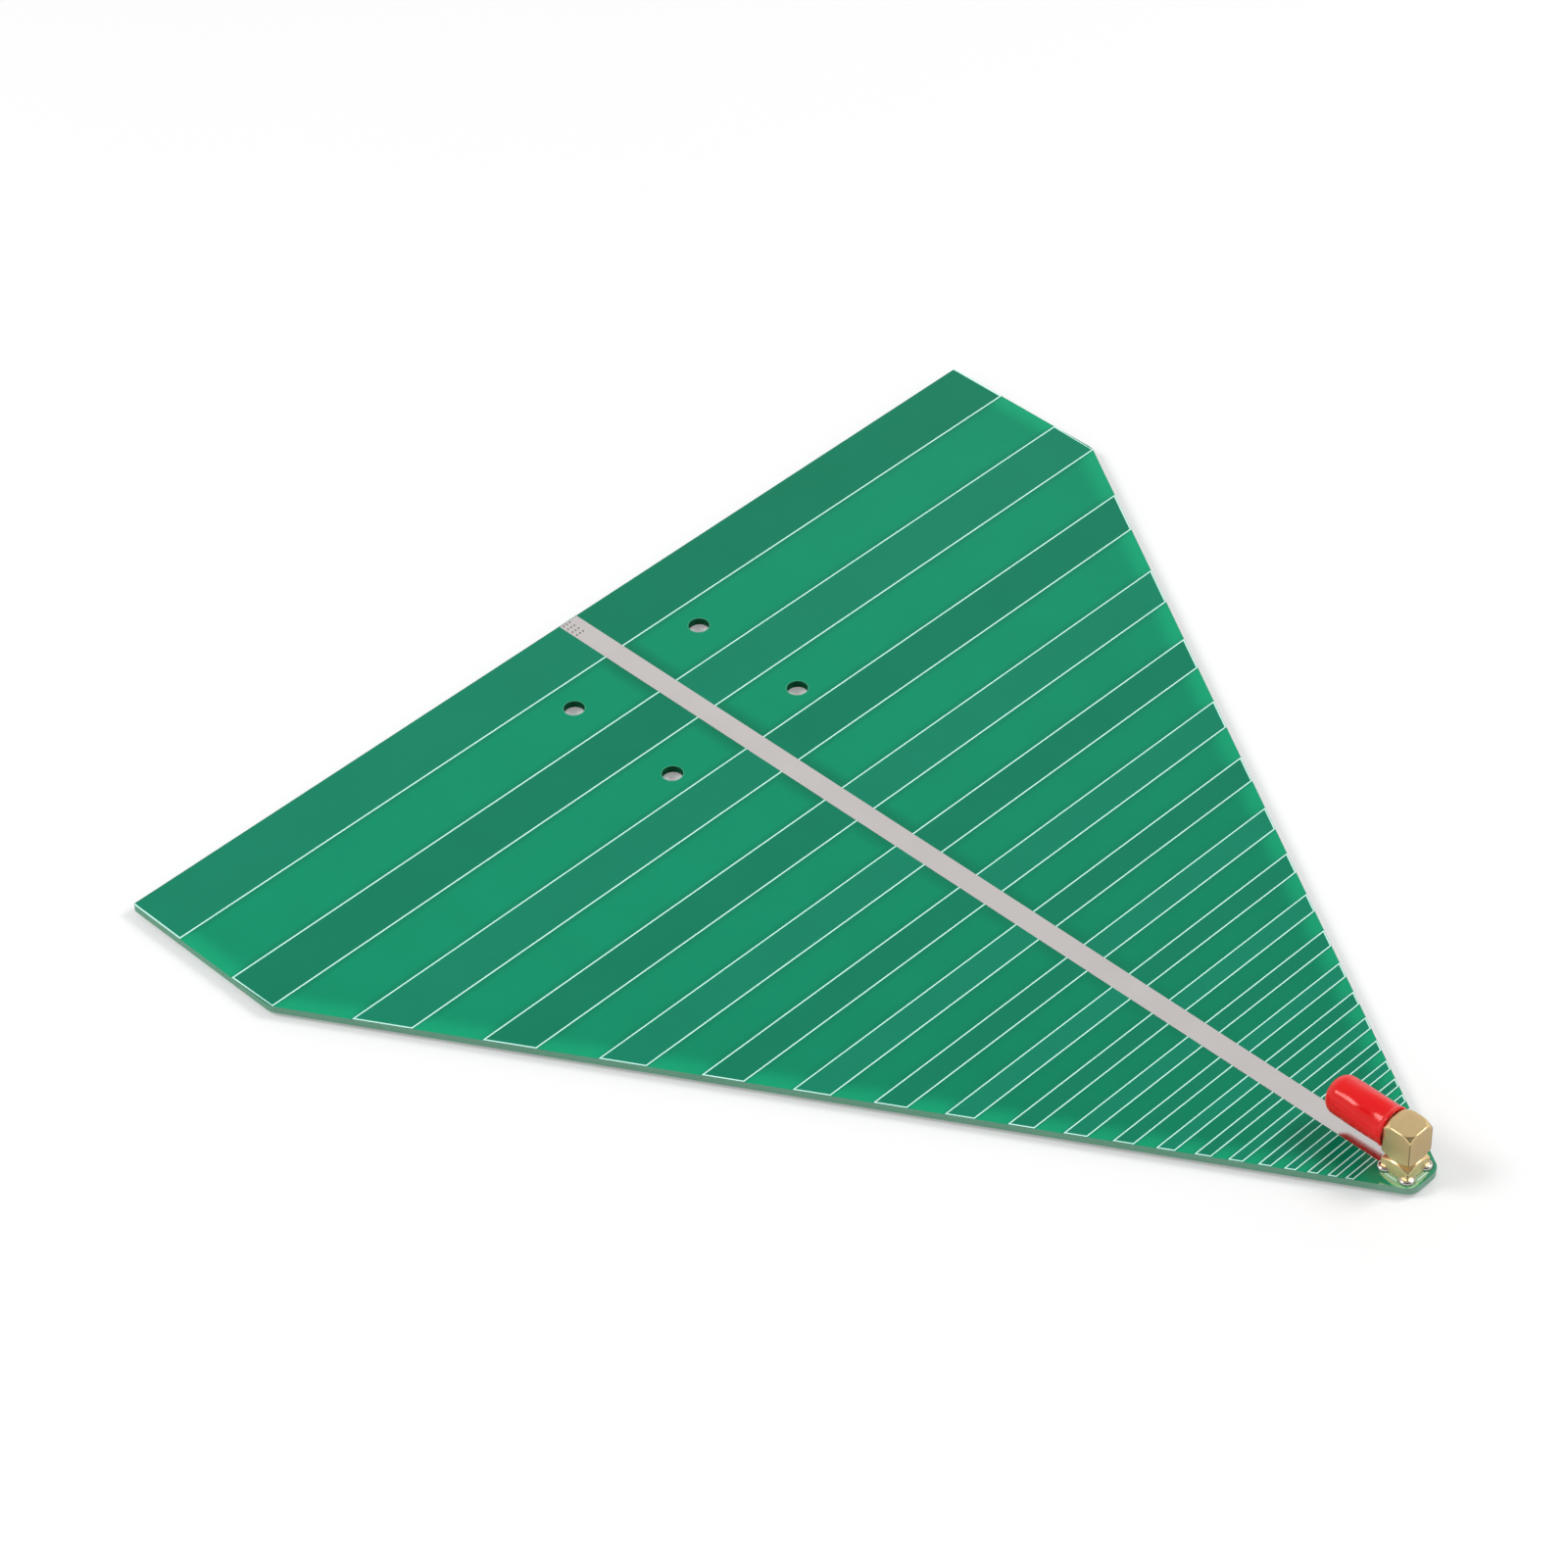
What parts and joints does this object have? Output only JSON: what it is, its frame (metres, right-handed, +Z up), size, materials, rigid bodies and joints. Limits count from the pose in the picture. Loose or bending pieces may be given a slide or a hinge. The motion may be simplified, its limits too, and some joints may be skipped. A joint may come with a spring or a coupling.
{
  "type": "log-periodic antenna",
  "caption": "Flat tapered log-periodic dipole antenna etched on both faces of a green printed board, with a right-angle coaxial jack under a red dust cap at its tip.",
  "frame": {"origin": "centre of the four mounting holes, on the underside of the laminate", "axes": "+Z up from the face that carries the jack, +Y from the tip to the wide end, +X across the board"},
  "size_m": [0.23, 0.2269, 0.0144],
  "materials": {
    "masked_laminate": "glass-epoxy laminate under glossy green solder mask",
    "masked_copper": "copper foil under glossy green solder mask",
    "tin": "matte tin coat",
    "gold_plate": "turned brass, gold plated",
    "white_insulator": "machined fluoropolymer",
    "solder": "bright solder",
    "red_vinyl": "glossy dip-moulded vinyl",
    "white_ink": "screen-printed ink lines"
  },
  "bodies": {
    "antenna": {"fr4_board": "masked_laminate", "front_copper": "masked_copper", "back_copper": "masked_copper", "front_tinning": "tin", "back_tinning": "tin", "feed_vias": "tin", "jack_body": "gold_plate", "threaded_barrel": "gold_plate", "barrel_insulator": "white_insulator", "centre_contact": "gold_plate", "pin_insulator": "white_insulator", "tail_pin": "gold_plate", "leg_solder": "solder", "pin_solder": "solder"},
    "cap": {"dust_cap": "red_vinyl"}
  },
  "joints": [
    {"name": "cap_pull", "type": "slide", "parent": "antenna", "child": "cap", "axis": [0, 1, 0], "range_m": [0, 0.03]}
  ]
}
